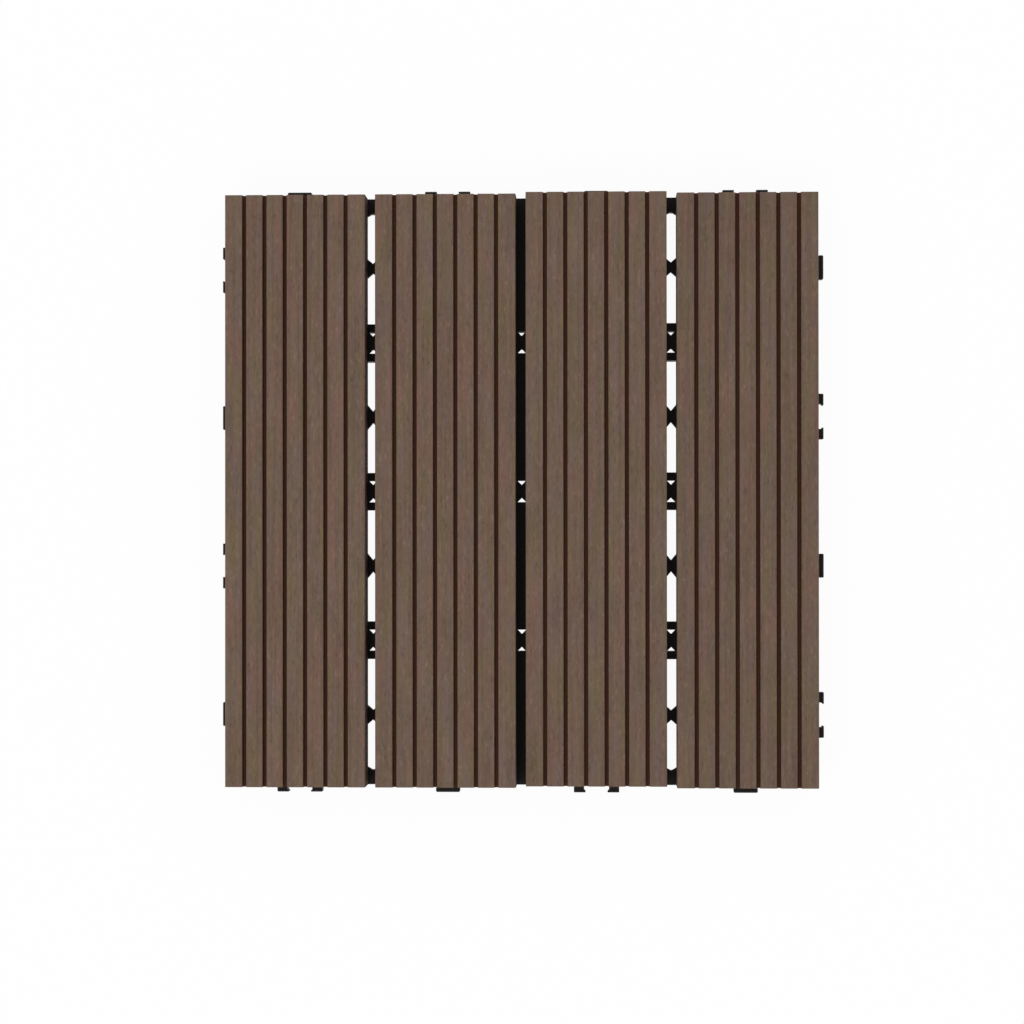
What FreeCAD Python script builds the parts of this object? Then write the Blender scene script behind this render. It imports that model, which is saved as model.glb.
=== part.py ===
# Interlocking deck tile: a moulded grid base, four grooved composite slats, and the screws between them.
# Millimetres. X runs across the slats, Y along them, Z up. The origin is the tile's centre on the ground.
import FreeCAD, Part
import math
import os

os.makedirs("parts", exist_ok=True)

# Tile
module = 75.0                  # pitch of the slats, and of the cells in the base
modules_per_side = 4
joint_gap = 5.0                # between two slats, and between two tiles once they are joined
inner_rows = 2                 # rows of cells nearest the tile's middle, with the stouter braces
rounding_limit = 0.4           # most that a corner's radius may be of the face beside it

# Slats
slat_thickness = 14.0
groove_count = 6
groove_pitch = 10.15
groove_width = 2.2             # at the walking face
groove_floor = 1.5             # at the bottom of the groove
groove_depth = 2.2
rib_edge_radius = 0.4
slat_edge_radius = 0.8
moved_slat = 3                 # counted from the left: the slat that was screwed down a little too far along
moved_by = 0.75

# Base grid, seen from above
channel_width = 10.8           # clear width between the two bars of a pair
bar_width = 4.0
crossing_brace_width = 4.6     # the diagonal cross where two channels meet
inner_brace_waist = 5.7        # the brace halfway along a stretch of channel, near the tile's middle
inner_brace_angle = 50.0       # at which it widens towards the bars
outer_brace_waist = 4.8        # the same, in the outer rows
outer_brace_angle = 41.0
rim_brace_width = 3.2          # the two strips that meet where a channel ends at the rim
rim_brace_angle = 30.0
spoke_width = 3.0
hub_wall = 2.7

# Base grid, seen from the side
base_height = 8.0
foot_height = 1.0
foot_radius = 3.0
core_wall = 1.2                # beside a core, the hollow that opens downwards under a bar or the rim
core_roof = 2.4                # above it
web_thickness = 2.4            # of the braces, and of the plates that close the middle channel

# Drop-in connectors: headed tabs, each held between two prongs of the next tile
tab_head_width = 12.0
tab_neck_width = 9.2
tab_shoulder = 1.3             # length over which the neck widens to the head
tab_height = 4.4
tab_corner_radius = 0.6
tab_end_clearance = 0.8        # from the tip of a tab to the next tile
flank_clearance = 0.3          # on each side of a tab in its socket
prong_root_width = 5.1
prong_corner_radius = 0.4
lead_in = 0.7                  # sloped top edge at the tip, so that the tiles drop together
tip_flat = 1.1                 # level top between the lead-in and the slope that rises to the base's top

# Screws, driven from below
screw_radius = 1.95
screw_bite = 8.6               # how far a screw goes into its slat
screw_point = 3.0
head_radius = 3.75
head_height = 2.4
head_rim = 0.9
head_sink = 1.2                # from the ground up to the head
recess_span = 4.2
recess_width = 1.0
recess_depth = 1.3
head_clearance = 0.55          # round the head, in its counterbore
shank_clearance = 0.25         # round the shank, in the base
thread_clearance = 0.02        # round the thread, in the slat
pilot_run_out = 0.8            # pilot hole past the screw's point

# Sizes that follow from those
tile_pitch = module * modules_per_side
body_side = tile_pitch - joint_gap
body_half = body_side / 2
slat_width = module - joint_gap
slat_length = body_side
bar_offset = channel_width / 2 + bar_width / 2
rim_width = bar_width + (channel_width - joint_gap) / 2
rim_middle = body_half - rim_width / 2
cell_inside = module - channel_width - 2 * bar_width
tab_reach = joint_gap - tab_end_clearance
tab_top = foot_height + tab_height
slope_reach = tab_reach - lead_in - tip_flat
neck_length = tab_end_clearance
counterbore_radius = head_radius + head_clearance
counterbore_depth = head_height + head_sink
hub_radius = counterbore_radius + hub_wall
hub_floor = base_height - counterbore_depth
core_depth = base_height - foot_height - core_roof
up = FreeCAD.Vector(0, 0, 1)

cell_centres = [(i - (modules_per_side - 1) / 2) * module for i in range(modules_per_side)]
channel_lines = [(i - modules_per_side / 2) * module for i in range(1, modules_per_side)]
middle_line = channel_lines[len(channel_lines) // 2]
cells = [(x, y) for x in cell_centres for y in cell_centres]


def point(x, y, z=0.0):
    return FreeCAD.Vector(x, y, z)


def rounded_face(corners, radii):
    """A flat face whose corners are rounded by the radius given for each, or sharp where it is 0."""
    edges = []
    starts = []
    ends = []
    middles = []
    for i, corner in enumerate(corners):
        radius = radii[i]
        if radius == 0:
            starts.append(corner)
            middles.append(None)
            ends.append(corner)
            continue
        back = (corners[i - 1] - corner).normalize()
        ahead = (corners[(i + 1) % len(corners)] - corner).normalize()
        half_angle = back.getAngle(ahead) / 2
        inward = (back + ahead).normalize()
        tangent_run = radius / math.tan(half_angle)
        centre = corner + inward * (radius / math.sin(half_angle))
        starts.append(corner + back * tangent_run)
        middles.append(centre - inward * radius)
        ends.append(corner + ahead * tangent_run)
    for i in range(len(corners)):
        if middles[i] is not None:
            edges.append(Part.Arc(starts[i], middles[i], ends[i]).toShape())
        edges.append(Part.LineSegment(ends[i], starts[(i + 1) % len(corners)]).toShape())
    return Part.Face(Part.Wire(edges))


def sharp_face(corners):
    return Part.Face(Part.makePolygon(corners + corners[:1]))


def strip(x0, y0, x1, y1, width):
    """A straight strip of that width, as a flat face with its centre line between two points."""
    run = point(x1 - x0, y1 - y0)
    side = up.cross(run).normalize() * (width / 2)
    a = point(x0, y0)
    b = point(x1, y1)
    return sharp_face([a + side, a - side, b - side, b + side])


def disc(x, y, radius):
    return Part.Face(Part.Wire(Part.makeCircle(radius, point(x, y))))


def block(x, y, size_x, size_y, z, height):
    """A box centred over a point."""
    return Part.makeBox(size_x, size_y, height, point(x - size_x / 2, y - size_y / 2, z))


# Slats
def slat_profile():
    """Cross-section of a slat in the XZ plane, with its grooves, about its own centre line."""
    half = slat_width / 2
    top = slat_thickness
    foot_of_groove = top - groove_depth
    rib_width = groove_pitch - groove_width
    rib_radius = min(rib_edge_radius, groove_depth * rounding_limit, rib_width * rounding_limit)
    floor_radius = min(rib_edge_radius, groove_floor * rounding_limit)
    corners = [point(-half, 0, 0), point(-half, 0, top)]
    radii = [slat_edge_radius, slat_edge_radius]
    for i in range(groove_count):
        middle = (i - (groove_count - 1) / 2) * groove_pitch
        corners.append(point(middle - groove_width / 2, 0, top))
        corners.append(point(middle - groove_floor / 2, 0, foot_of_groove))
        corners.append(point(middle + groove_floor / 2, 0, foot_of_groove))
        corners.append(point(middle + groove_width / 2, 0, top))
        radii.extend([rib_radius, floor_radius, floor_radius, rib_radius])
    corners.extend([point(half, 0, top), point(half, 0, 0)])
    radii.extend([slat_edge_radius, slat_edge_radius])
    return rounded_face(corners, radii)


def slat(number):
    """One slat, with a blind pilot hole from below over each hub of the base."""
    centre_x = cell_centres[number - 1]
    shift = moved_by if number == moved_slat else 0.0
    body = slat_profile().extrude(point(0, slat_length, 0))
    body.translate(point(centre_x, shift - slat_length / 2, base_height))
    hole_radius = screw_radius + thread_clearance
    for y in cell_centres:
        hole = Part.makeCylinder(hole_radius, screw_bite + pilot_run_out, point(centre_x, y, base_height))
        body = body.cut(hole)
    return body


# Base grid
def long_bars():
    """The pairs of bars that run the whole way across, in both directions."""
    strips = []
    for line in channel_lines:
        for offset in (-bar_offset, bar_offset):
            strips.append(strip(line + offset, -rim_middle, line + offset, rim_middle, bar_width))
            strips.append(strip(-rim_middle, line + offset, rim_middle, line + offset, bar_width))
    return strips


def rim_strips():
    strips = []
    for side in (-rim_middle, rim_middle):
        strips.append(strip(-body_half, side, body_half, side, rim_width))
        strips.append(strip(side, -body_half, side, body_half, rim_width))
    return strips


def cross(x, y, reach, rise, width):
    """Two strips that cross at a point, each running reach to the sides and rise up or down."""
    return [
        strip(x - reach, y - rise, x + reach, y + rise, width),
        strip(x - reach, y + rise, x + reach, y - rise, width),
    ]


def brace_rise(angle):
    """How far a brace's edge at that angle runs along its channel, from the middle to a bar's middle."""
    return bar_offset * math.tan(math.radians(angle))


def waisted_braces(line, middle, waist, angle):
    """A plate across each of the two channels on that line, narrowest at the channel's middle."""
    narrow = waist / 2
    wide = narrow + brace_rise(angle)
    near_side = [(-bar_offset, -wide), (0, -narrow), (bar_offset, -wide)]
    outline = near_side + [(-across, -along) for across, along in near_side]
    along_y = [point(line + across, middle + along) for across, along in outline]
    along_x = [point(middle + along, line + across) for across, along in reversed(outline)]
    return [sharp_face(along_y), sharp_face(along_x)]


def channel_braces():
    """A diagonal cross where two channels meet, and a waisted plate halfway along each stretch."""
    braces = []
    near_middle = sorted(cell_centres, key=abs)[:inner_rows]
    for line in channel_lines:
        for other in channel_lines:
            braces.extend(cross(line, other, bar_offset, bar_offset, crossing_brace_width))
        for middle in cell_centres:
            if middle in near_middle:
                braces.extend(waisted_braces(line, middle, inner_brace_waist, inner_brace_angle))
            else:
                braces.extend(waisted_braces(line, middle, outer_brace_waist, outer_brace_angle))
    return braces


def rim_braces():
    """Two strips, from the rim to the bars beside it, where each channel ends."""
    strips = []
    start = body_half - rim_width + rim_brace_width / 2
    finish = start - brace_rise(rim_brace_angle)
    for line in channel_lines:
        for end in (-1, 1):
            for side in (-bar_offset, bar_offset):
                strips.append(strip(line, end * start, line + side, end * finish, rim_brace_width))
                strips.append(strip(end * start, line, end * finish, line + side, rim_brace_width))
    return strips


def spokes():
    """Eight spokes in each cell, from its hub to the bars round it."""
    strips = []
    reach = module / 2 - bar_offset
    for x, y in cells:
        strips.append(strip(x - reach, y, x + reach, y, spoke_width))
        strips.append(strip(x, y - reach, x, y + reach, spoke_width))
        strips.extend(cross(x, y, reach, reach, spoke_width))
    return strips


def middle_plates():
    """The closed stretches of the middle channel, between its crossings."""
    reach = module / 2 - bar_offset
    width = channel_width + bar_width
    return [strip(middle_line, y - reach, middle_line, y + reach, width) for y in cell_centres]


def pockets():
    """What is open under the braces and plates of the channels, apart from a post at each crossing."""
    depth = base_height - foot_height - web_thickness
    hollows = []
    for line in channel_lines:
        for middle in cell_centres:
            hollows.append(block(line, middle, channel_width, cell_inside, foot_height, depth))
            hollows.append(block(middle, line, cell_inside, channel_width, foot_height, depth))
        for other in channel_lines:
            square = block(line, other, channel_width, channel_width, foot_height, depth)
            hollows.append(square.cut(Part.makeCylinder(foot_radius, base_height, point(line, other))))
    return hollows


def cores():
    """Hollows under the bars and the rim, which keep the moulding's walls thin."""
    length = cell_inside - 2 * core_wall
    hollows = []
    bar_core = bar_width - 2 * core_wall
    rim_core = rim_width - 2 * core_wall
    for middle in cell_centres:
        for line in channel_lines:
            for side in (line - bar_offset, line + bar_offset):
                hollows.append(block(side, middle, bar_core, length, foot_height, core_depth))
                hollows.append(block(middle, side, length, bar_core, foot_height, core_depth))
        for side in (-rim_middle, rim_middle):
            hollows.append(block(side, middle, rim_core, length, foot_height, core_depth))
            hollows.append(block(middle, side, length, rim_core, foot_height, core_depth))
    return hollows


def connector_side():
    """Side view of a connector: a slope down from the base's top, a level top, then the lead-in."""
    tip = body_half + tab_reach
    corners = [
        point(body_half, 0, foot_height),
        point(body_half, 0, base_height),
        point(body_half + slope_reach, 0, tab_top),
        point(tip - lead_in, 0, tab_top),
        point(tip, 0, tab_top - lead_in),
        point(tip, 0, foot_height),
    ]
    face = sharp_face(corners)
    face.translate(point(0, -module / 2, 0))
    return face.extrude(point(0, module, 0))


def connector(outline, radii, y):
    """A tab or prong on the +X side, from its plan given as distance out and distance across."""
    corners = [point(body_half + out, across, foot_height) for out, across in outline]
    plan = rounded_face(corners, radii).extrude(up * (base_height - foot_height))
    solid = plan.common(connector_side()).Solids[0]
    solid.translate(point(0, y, 0))
    return solid


def tab(y):
    """A neck, shoulders that widen to the head, and rounded corners at the tip."""
    neck = tab_neck_width / 2
    head = tab_head_width / 2
    flank = [(0, neck), (neck_length, neck), (neck_length + tab_shoulder, head), (tab_reach, head)]
    rounding = [0, 0, 0, tab_corner_radius]
    outline = flank + [(out, -across) for out, across in reversed(flank)]
    return [connector(outline, rounding + rounding[::-1], y)]


def prongs(y):
    """The pair round a socket, each with the outline of the tab that reaches in from the next tile."""
    wide = tab_head_width / 2 + flank_clearance
    mouth = tab_neck_width / 2 + flank_clearance
    outside = wide + prong_root_width
    bend = joint_gap - neck_length - tab_shoulder
    outline = [(0, wide), (bend, wide), (tab_reach, mouth), (tab_reach, outside), (0, outside)]
    radii = [0, 0, prong_corner_radius, prong_corner_radius, 0]
    mirrored = [(out, -across) for out, across in outline]
    return [connector(outline, radii, y), connector(mirrored, radii, y)]


def connectors():
    """Tabs and prongs by turns along each side, the same for every quarter turn of the tile."""
    pieces = []
    for i, y in enumerate(reversed(cell_centres)):
        pieces.extend(tab(y) if i % 2 == 0 else prongs(y))
    ring = []
    for quarter in range(4):
        for piece in pieces:
            turned = piece.copy()
            turned.rotate(point(0, 0, 0), up, 90 * quarter)
            ring.append(turned)
    return ring


def hub_bores():
    bores = []
    for x, y in cells:
        bores.append(Part.makeCylinder(screw_radius + shank_clearance, base_height, point(x, y)))
        bores.append(Part.makeCylinder(counterbore_radius, counterbore_depth, point(x, y)))
    return bores


def feet():
    """Round feet under the hubs, under the crossings, and under the rim where the channels end."""
    places = [(x, y) for x in channel_lines for y in channel_lines]
    for side in (-rim_middle, rim_middle):
        places.extend([(side, y) for y in channel_lines + [-rim_middle, rim_middle]])
        places.extend([(x, side) for x in channel_lines])
    round_feet = [Part.makeCylinder(foot_radius, foot_height, point(x, y)) for x, y in places]
    hub_feet = [Part.makeCylinder(hub_radius, foot_height, point(x, y)) for x, y in cells]
    return round_feet + hub_feet


def base_grid():
    flats = long_bars() + rim_strips() + channel_braces() + rim_braces() + spokes() + middle_plates()
    flats += [disc(x, y, hub_radius) for x, y in cells]
    outline = flats[0].multiFuse(flats[1:]).removeSplitter()
    solid = outline.extrude(point(0, 0, base_height - foot_height))
    solid.translate(point(0, 0, foot_height))
    solid = solid.multiFuse(connectors() + feet())
    for hollows in (pockets(), cores(), hub_bores()):
        solid = solid.cut(Part.makeCompound(hollows))
    return solid


# Screws
def screw():
    """A pan-head self-tapping screw, point up, with the face under its head at z = 0."""
    length = hub_floor + screw_bite
    dome_rise = head_height - head_rim
    dome_radius = (head_radius ** 2 + dome_rise ** 2) / (2 * dome_rise)
    half_turn = math.asin(head_radius / dome_radius) / 2
    axis_end = point(0, 0, -head_height)
    dome_sag = dome_radius * (1 - math.cos(half_turn))
    dome_middle = point(dome_radius * math.sin(half_turn), 0, dome_sag - head_height)
    rim_low = point(head_radius, 0, -head_rim)
    rim_high = point(head_radius, 0, 0)
    neck = point(screw_radius, 0, 0)
    shoulder = point(screw_radius, 0, length - screw_point)
    tip = point(0, 0, length)
    edges = [Part.Arc(axis_end, dome_middle, rim_low).toShape()]
    corners = [rim_low, rim_high, neck, shoulder, tip, axis_end]
    for start, end in zip(corners, corners[1:]):
        edges.append(Part.LineSegment(start, end).toShape())
    body = Part.Face(Part.Wire(edges)).revolve(point(0, 0, 0), up, 360)
    body = Part.makeSolid(body.Shells[0])
    for long_x, long_y in ((recess_span, recess_width), (recess_width, recess_span)):
        corner = point(-long_x / 2, -long_y / 2, -head_height)
        body = body.cut(Part.makeBox(long_x, long_y, recess_depth, corner))
    return body


def screws():
    single = screw()
    group = []
    for x, y in cells:
        copy = single.copy()
        copy.translate(point(x, y, counterbore_depth))
        group.append(copy)
    return Part.makeCompound(group)


base_grid().exportStep("parts/base_grid.step")
for number in range(1, modules_per_side + 1):
    slat(number).exportStep("parts/slat_" + str(number) + ".step")
screws().exportStep("parts/slat_screws.step")
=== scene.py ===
import math

import bpy
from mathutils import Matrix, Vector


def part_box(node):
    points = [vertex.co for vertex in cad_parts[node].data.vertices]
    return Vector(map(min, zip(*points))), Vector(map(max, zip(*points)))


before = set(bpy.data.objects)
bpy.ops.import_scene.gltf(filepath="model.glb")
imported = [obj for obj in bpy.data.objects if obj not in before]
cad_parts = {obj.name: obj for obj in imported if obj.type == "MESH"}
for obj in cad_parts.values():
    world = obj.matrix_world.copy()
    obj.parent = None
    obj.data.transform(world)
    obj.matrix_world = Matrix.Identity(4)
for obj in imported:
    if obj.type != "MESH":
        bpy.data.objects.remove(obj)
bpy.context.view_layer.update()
print("frame loaded:", ", ".join(sorted(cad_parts)))


# One socket of a shader, so that shader maths reads as plain Python
class Signal:
    def __init__(self, shader, socket):
        self.shader = shader
        self.socket = socket

    def __add__(self, other):
        return self.shader.maths("ADD", self, other)

    def __radd__(self, other):
        return self.shader.maths("ADD", other, self)

    def __sub__(self, other):
        return self.shader.maths("SUBTRACT", self, other)

    def __rsub__(self, other):
        return self.shader.maths("SUBTRACT", other, self)

    def __mul__(self, other):
        return self.shader.maths("MULTIPLY", self, other)

    def __rmul__(self, other):
        return self.shader.maths("MULTIPLY", other, self)

    def __abs__(self):
        return self.shader.maths("ABSOLUTE", self)

    def orMore(self, other):
        return self.shader.maths("MAXIMUM", self, other)

    # 0 below low, 1 above high, with a soft change between them
    def rise(self, low, high):
        sockets = {"Value": self, "From Min": low, "From Max": high}
        return self.shader.node("ShaderNodeMapRange", sockets, {"interpolation_type": "SMOOTHSTEP"}).out()

    # a pattern from 0 to 1 as a swing of so much about zero
    def swing(self, amount):
        return (self - 0.5) * amount


# A node that has been added, and the way to its outputs
class Added:
    def __init__(self, shader, node):
        self.shader = shader
        self.node = node

    def out(self, name=0):
        return Signal(self.shader, self.node.outputs[name])


class Shader:
    def __init__(self, tree):
        self.tree = tree
        tree.nodes.clear()

    def node(self, kind, sockets=None, settings=None):
        made = self.tree.nodes.new(kind)
        for key, value in (settings or {}).items():
            setattr(made, key, value)
        for key, value in (sockets or {}).items():
            if isinstance(value, Signal):
                self.tree.links.new(value.socket, made.inputs[key])
            else:
                made.inputs[key].default_value = value
        return Added(self, made)

    def maths(self, operation, *values):
        return self.node("ShaderNodeMath", dict(enumerate(values)), {"operation": operation}).out()

    # noise on Object coordinates: a pattern is its stretch along each axis, its scale, detail and roughness
    def noise(self, pattern, shift=(0, 0, 0)):
        stretch, scale, detail, roughness = pattern
        coords = self.node("ShaderNodeTexCoord").out("Object")
        place = self.node("ShaderNodeMapping", {"Vector": coords, "Scale": stretch, "Location": shift}).out()
        sockets = {"Vector": place, "Scale": scale, "Detail": detail, "Roughness": roughness}
        return self.node("ShaderNodeTexNoise", sockets).out("Fac")

    def mix(self, amount, first, second, blend="MIX"):
        sockets = {0: amount, 6: first, 7: second}
        return self.node("ShaderNodeMix", sockets, {"data_type": "RGBA", "blend_type": blend}).out(2)

    # the second colour over the first, up to a share of it, where a pattern rises from low to high
    def overlay(self, first, second, pattern, low, high, share):
        return self.mix(pattern.rise(low, high) * share, first, second)

    # a colour made lighter or darker all through
    def shade(self, colour, tone):
        grey = self.node("ShaderNodeCombineColor", {"Red": tone, "Green": tone, "Blue": tone}).out()
        return self.mix(1.0, colour, grey, "MULTIPLY")

    def bump(self, height, strength, distance):
        sockets = {"Height": height, "Strength": strength, "Distance": distance}
        return self.node("ShaderNodeBump", sockets).out()

    def finish(self, sockets):
        surface = self.node("ShaderNodeBsdfPrincipled", sockets).out()
        self.node("ShaderNodeOutputMaterial", {"Surface": surface})


def newMaterial(name):
    material = bpy.data.materials.new(name)
    material.use_nodes = True
    return material, Shader(material.node_tree)


# A screen colour from 0 to 255, as the shader's own linear colour
def linear(red, green, blue):
    parts = [value / 255 for value in (red, green, blue)]
    return [p / 12.92 if p <= 0.04045 else ((p + 0.055) / 1.055) ** 2.4 for p in parts] + [1.0]


def dress(name, material):
    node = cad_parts[name]
    node.data.materials.clear()
    node.data.materials.append(material)


# Slats: lengths in metres, patches as low, high and share
slatFinish = {
    "greyBrown": linear(110, 91, 84),
    "oliveBrown": linear(109, 93, 70),
    "olivePatches": (0.3, 0.7, 1.0),
    "redBrown": linear(118, 88, 78),
    "redPatches": (0.46, 0.66, 0.75),
    "darkStreak": linear(97, 79, 66),
    "darkStreaks": (0.38, 0.68, 0.6),
    "paleFleck": linear(136, 117, 100),
    "paleFlecks": (0.56, 0.74, 0.35),
    "darkFleck": linear(76, 59, 48),
    "darkFlecks": (0.56, 0.74, 0.4),
    "slatTones": (1.0, 1.0, 0.985, 0.95),
    "toneMiddle": 1.01,
    "toneSwing": {"fine": 0.25, "cloud": 0.34, "grain": 0.32},
    # die skin colour in the grooves, darkened with painted shade
    "grooveSkinAndShade": linear(66, 38, 23),
    "skinDepth": (0.0003, 0.0012),      # below the walking face, from brushed to skin
    "sideSkin": linear(82, 62, 50),
    "sideLine": linear(70, 51, 40),
    "sideLines": (0.42, 0.62, 1.0),
    "sideRed": (0.4, 0.7, 0.12),
    "sideReach": (0.0335, 0.0341),      # from the slat's middle line to its sides
    "sideDepth": (0.003, 0.004),        # from the walking face to below the grooves
    "sawnNormal": (0.6, 0.9),           # how far a face looks along the slat
    "sawnEnd": linear(96, 80, 69),
    "sawnChip": linear(118, 101, 86),
    "sawnPit": linear(72, 57, 47),
    "sawnFlecks": (0.50, 0.68, 0.8),
    "sawnClumps": (0.50, 0.70, 0.35),
    "roughness": 0.78,
    "roughnessSwing": 0.14,
    "skinGloss": 0.1,                   # the skin in the grooves is smoother than the brushed face
    "sideDulling": 0.2,                 # and that on the sides is scuffed dull
    "specular": 0.18,
    "relief": {"fine": 0.6, "grain": 0.25, "broad": 0.15, "dieLine": 0.4, "kerf": 0.4, "crumb": 0.6},
    "skinSmoothing": 0.6,
    "bump": (0.5, 0.00012),
    "patternStep": (0.37, 0.53),        # from slat to slat, so that no two have the same streaks
    "tintLift": 3,
    "patterns": {
        "fine": ((1, 0.06, 1), 1700, 3, 0.6),
        "broad": ((1, 0.02, 1), 500, 3, 0.55),
        "cloud": ((1, 0.4, 1), 110, 3, 0.55),
        "grain": ((1, 0.32, 1), 980, 3, 0.6),
        "tint": ((1, 0.12, 1), 230, 2, 0.5),
        "warmth": ((1, 0.2, 1), 160, 2, 0.5),
        "dieLine": ((1, 0.008, 1), 1800, 3, 0.6),
        "crumb": ((1, 1, 1), 2300, 4, 0.65),
        "clump": ((1, 1, 1), 420, 3, 0.6),
        "kerf": ((1, 1, 0.05), 1500, 3, 0.6),
    },
}


# The brushed face: warm and olive patches, long dark streaks, and flecks of wood
def brushedColour(shader, look, noise, tone):
    colour = shader.overlay(look["greyBrown"], look["oliveBrown"], noise["tint"], *look["olivePatches"])
    colour = shader.overlay(colour, look["redBrown"], noise["warmth"], *look["redPatches"])
    colour = shader.overlay(colour, look["darkStreak"], noise["broad"], *look["darkStreaks"])
    colour = shader.overlay(colour, look["paleFleck"], noise["grain"], *look["paleFlecks"])
    colour = shader.overlay(colour, look["darkFleck"], 1 - noise["grain"], *look["darkFlecks"])
    swings = [noise[name].swing(amount) for name, amount in look["toneSwing"].items()]
    return shader.shade(colour, sum(swings, look["toneMiddle"]) * tone)


# The sawn ends show the chips of wood in the mix
def sawnColour(shader, look, noise):
    crumb = noise["crumb"]
    colour = shader.overlay(look["sawnEnd"], look["sawnChip"], crumb, *look["sawnFlecks"])
    colour = shader.overlay(colour, look["sawnPit"], 1 - crumb, *look["sawnFlecks"])
    return shader.overlay(colour, look["darkFleck"], noise["clump"], *look["sawnClumps"])


# The sides keep the lines of the die
def sideColour(shader, look, noise):
    colour = shader.overlay(look["sideSkin"], look["sideLine"], noise["dieLine"], *look["sideLines"])
    return shader.overlay(colour, look["redBrown"], noise["warmth"], *look["sideRed"])


def slatMaterial(number, middle, top):
    material, shader = newMaterial("compositeSlat%d" % number)
    look = slatFinish
    across, along = [number * step for step in look["patternStep"]]
    shifts = {name: (across, along, 0) for name in look["patterns"]}
    shifts["tint"] = (along, across, look["tintLift"])
    noise = {name: shader.noise(pattern, shifts[name]) for name, pattern in look["patterns"].items()}

    # where the ends are sawn, and where grooves and sides keep the smoother, darker skin from the die; in
    # the grooves that colour is darkened further with painted shade
    position = shader.node("ShaderNodeSeparateXYZ", {0: shader.node("ShaderNodeTexCoord").out("Object")})
    normal = shader.node("ShaderNodeSeparateXYZ", {0: shader.node("ShaderNodeNewGeometry").out("Normal")})
    sawn = abs(normal.out("Y")).rise(*look["sawnNormal"])
    depth = top - position.out("Z")
    skin = depth.rise(*look["skinDepth"]) * (1 - sawn)
    side = abs(position.out("X") - middle).rise(*look["sideReach"]).orMore(depth.rise(*look["sideDepth"]))

    colour = brushedColour(shader, look, noise, look["slatTones"][number - 1])
    # grooves get the skin colour with painted shade, sides the plain die skin
    skinAndGrooveShadeColour = shader.mix(side, look["grooveSkinAndShade"], sideColour(shader, look, noise))
    colour = shader.mix(skin, colour, skinAndGrooveShadeColour)
    colour = shader.mix(sawn, colour, sawnColour(shader, look, noise))

    relief = {name: noise[name] * amount for name, amount in look["relief"].items()}
    brushed = (relief["fine"] + relief["grain"] + relief["broad"]) * (1 - sawn)
    height = brushed * (1 - skin * look["skinSmoothing"]) + relief["dieLine"] * skin
    height = height + (relief["kerf"] + relief["crumb"]) * sawn
    roughness = noise["fine"].swing(look["roughnessSwing"]) + look["roughness"]
    shader.finish({
        "Base Color": colour,
        "Roughness": roughness + skin * (side * look["sideDulling"] - look["skinGloss"]),
        "Specular IOR Level": look["specular"],
        "Normal": shader.bump(height, *look["bump"]),
    })
    return material


for number in range(1, 5):
    name = "slat_%d" % number
    low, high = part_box(name)
    dress(name, slatMaterial(number, (low[0] + high[0]) / 2, high[2]))
print("slats dressed")


# Base grid
baseFinish = {
    "black": linear(15, 10, 8),
    "worn": linear(26, 19, 16),
    "wornPatches": (0.45, 0.75, 0.5),
    "roughness": 0.48,
    "roughnessSwing": 0.15,
    "flowRoughness": 0.1,
    "specular": 0.15,
    "bump": (0.35, 0.00006),
    "texture": ((1, 1, 1), 3200, 3, 0.6),
    "flow": ((1, 1, 1), 60, 3, 0.5),
}


def baseMaterial():
    material, shader = newMaterial("mouldedBlack")
    look = baseFinish
    texture = shader.noise(look["texture"])
    flow = shader.noise(look["flow"])
    roughness = texture.swing(look["roughnessSwing"]) + flow * look["flowRoughness"]
    shader.finish({
        "Base Color": shader.overlay(look["black"], look["worn"], flow, *look["wornPatches"]),
        "Roughness": roughness + look["roughness"],
        "Specular IOR Level": look["specular"],
        "Normal": shader.bump(texture, *look["bump"]),
    })
    return material


dress("base_grid", baseMaterial())
print("base dressed")


# Screws
screwFinish = {
    "bright": linear(196, 197, 194),
    "dull": linear(166, 168, 168),
    "roughness": 0.26,
    "cloudRoughness": 0.18,
    "bump": (0.2, 0.00004),
    "cloud": ((1, 1, 1), 900, 3, 0.6),
}


def screwMaterial():
    material, shader = newMaterial("zincPlate")
    look = screwFinish
    cloud = shader.noise(look["cloud"])
    shader.finish({
        "Base Color": shader.mix(cloud, look["bright"], look["dull"]),
        "Metallic": 1.0,
        "Roughness": cloud * look["cloudRoughness"] + look["roughness"],
        "Normal": shader.bump(cloud, *look["bump"]),
    })
    return material


dress("slat_screws", screwMaterial())
print("screws dressed")


# 1 for the rays that see the white background: straight, in gloss or through glass
def backgroundRays(shader):
    rays = shader.node("ShaderNodeLightPath")
    seen = rays.out("Is Camera Ray")
    for kind in ("Is Glossy Ray", "Is Transmission Ray"):
        seen = seen.orMore(rays.out(kind))
    return seen


# Floor, seen white from above with the tile's own soft shadow on it, and clear from below
floorLook = {
    "size": 8.0,
    "drop": 0.0001,                     # below the feet, so that their undersides don't lie in the floor
    "glow": 0.95,
    "shadowed": (0.95, 0.95, 0.95, 1.0),
    "white": (1.0, 1.0, 1.0, 1.0),
}


def buildFloor():
    look = floorLook
    bpy.ops.mesh.primitive_plane_add(size=look["size"], location=(0, 0, -look["drop"]))
    floor = bpy.context.object
    floor.name = "floor"
    floor.visible_diffuse = False
    floor.visible_shadow = False
    material, shader = newMaterial("paleFloor")
    plain = shader.node("ShaderNodeBsdfDiffuse", {"Color": look["shadowed"]}).out()
    white = shader.node("ShaderNodeEmission", {"Color": look["white"], "Strength": 1.0}).out()
    glow = backgroundRays(shader) * look["glow"]
    above = shader.node("ShaderNodeMixShader", {0: glow, 1: plain, 2: white}).out()
    clear = shader.node("ShaderNodeBsdfTransparent").out()
    back = shader.node("ShaderNodeNewGeometry").out("Backfacing")
    surface = shader.node("ShaderNodeMixShader", {0: back, 1: above, 2: clear}).out()
    shader.node("ShaderNodeOutputMaterial", {"Surface": surface})
    floor.data.materials.append(material)


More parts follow.
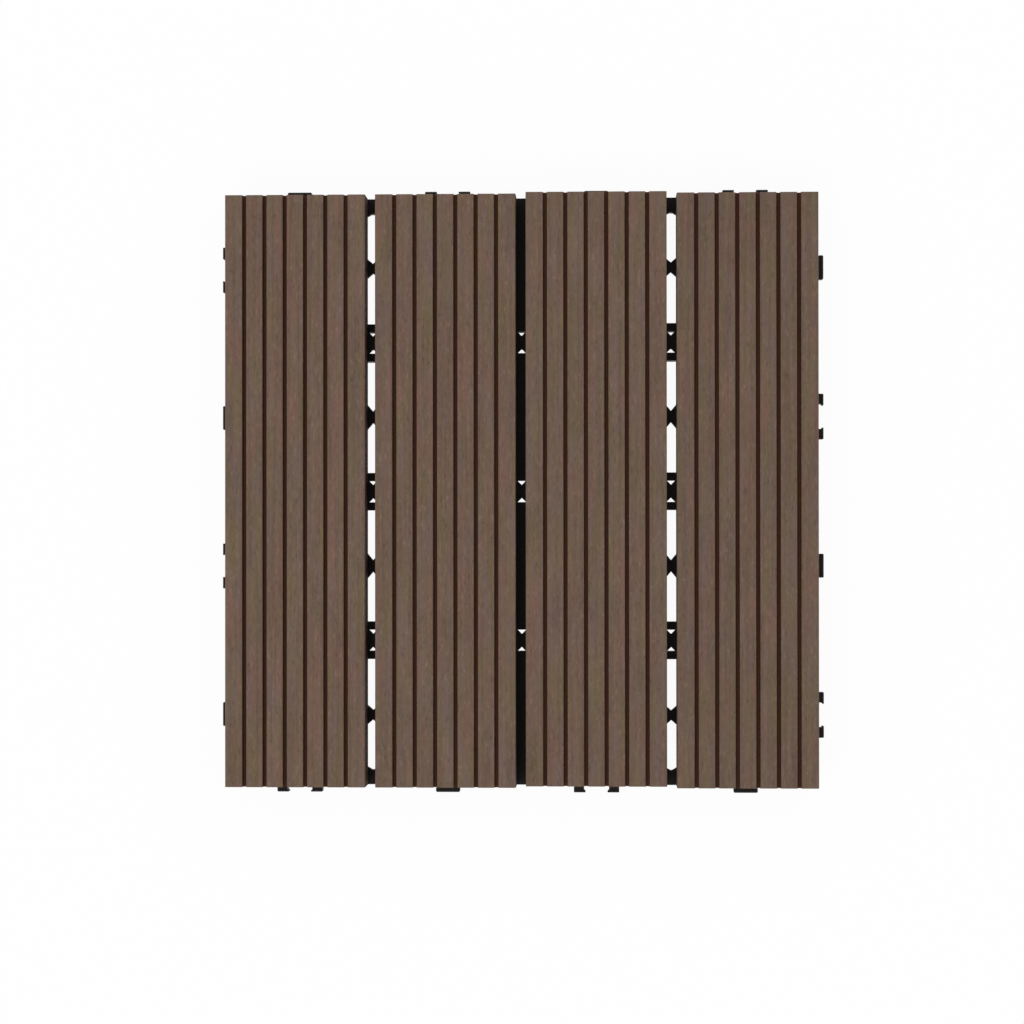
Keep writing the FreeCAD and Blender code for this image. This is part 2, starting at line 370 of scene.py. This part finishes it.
# Soft boxes all round, a dimmer ceiling where the camera hangs, and one broad key lamp; angles in degrees
lightLook = {
    "white": (1.0, 1.0, 1.0, 1.0),
    "sideStrength": 0.92,
    "overheadStrength": 0.35,
    "overheadEdge": (0.72, 0.94),       # height on the sky at which the ceiling begins, and is full
    "keyStrength": 0.85,
    "keyAngle": 30,
    "keyTilt": (38, -24, 0),
}


def buildLight():
    look = lightLook
    world = bpy.data.worlds.new("studio")
    bpy.context.scene.world = world
    world.use_nodes = True
    shader = Shader(world.node_tree)
    direction = shader.node("ShaderNodeSeparateXYZ", {0: shader.node("ShaderNodeTexCoord").out("Generated")})
    overhead = direction.out("Z").rise(*look["overheadEdge"])
    strength = look["sideStrength"] - overhead * (look["sideStrength"] - look["overheadStrength"])
    soft = shader.node("ShaderNodeBackground", {"Color": look["white"], "Strength": strength}).out()
    backdrop = shader.node("ShaderNodeBackground", {"Color": look["white"], "Strength": 1.0}).out()
    surface = shader.node("ShaderNodeMixShader", {0: backgroundRays(shader), 1: soft, 2: backdrop}).out()
    shader.node("ShaderNodeOutputWorld", {"Surface": surface})
    key = bpy.data.lights.new("key", "SUN")
    key.energy = look["keyStrength"]
    key.angle = math.radians(look["keyAngle"])
    lamp = bpy.data.objects.new("key", key)
    lamp.rotation_euler = [math.radians(value) for value in look["keyTilt"]]
    bpy.context.collection.objects.link(lamp)


# Camera, straight above and a little to the right of the tile's middle
cameraLook = {
    "place": (0.040, -0.030, 1.008),    # metres
    "tilt": (0.236, 1.687, -0.043),     # degrees
    "lens": 69.93,                      # millimetres
    "shift": (-0.03, 0.03),
}


def buildCamera():
    look = cameraLook
    data = bpy.data.cameras.new("camera")
    data.lens = look["lens"]
    data.shift_x, data.shift_y = look["shift"]
    camera = bpy.data.objects.new("camera", data)
    camera.location = look["place"]
    camera.rotation_euler = [math.radians(value) for value in look["tilt"]]
    bpy.context.collection.objects.link(camera)
    bpy.context.scene.camera = camera


buildFloor()
buildLight()
buildCamera()
bpy.context.scene.view_settings.view_transform = "Standard"
print("stage, light and camera ready")
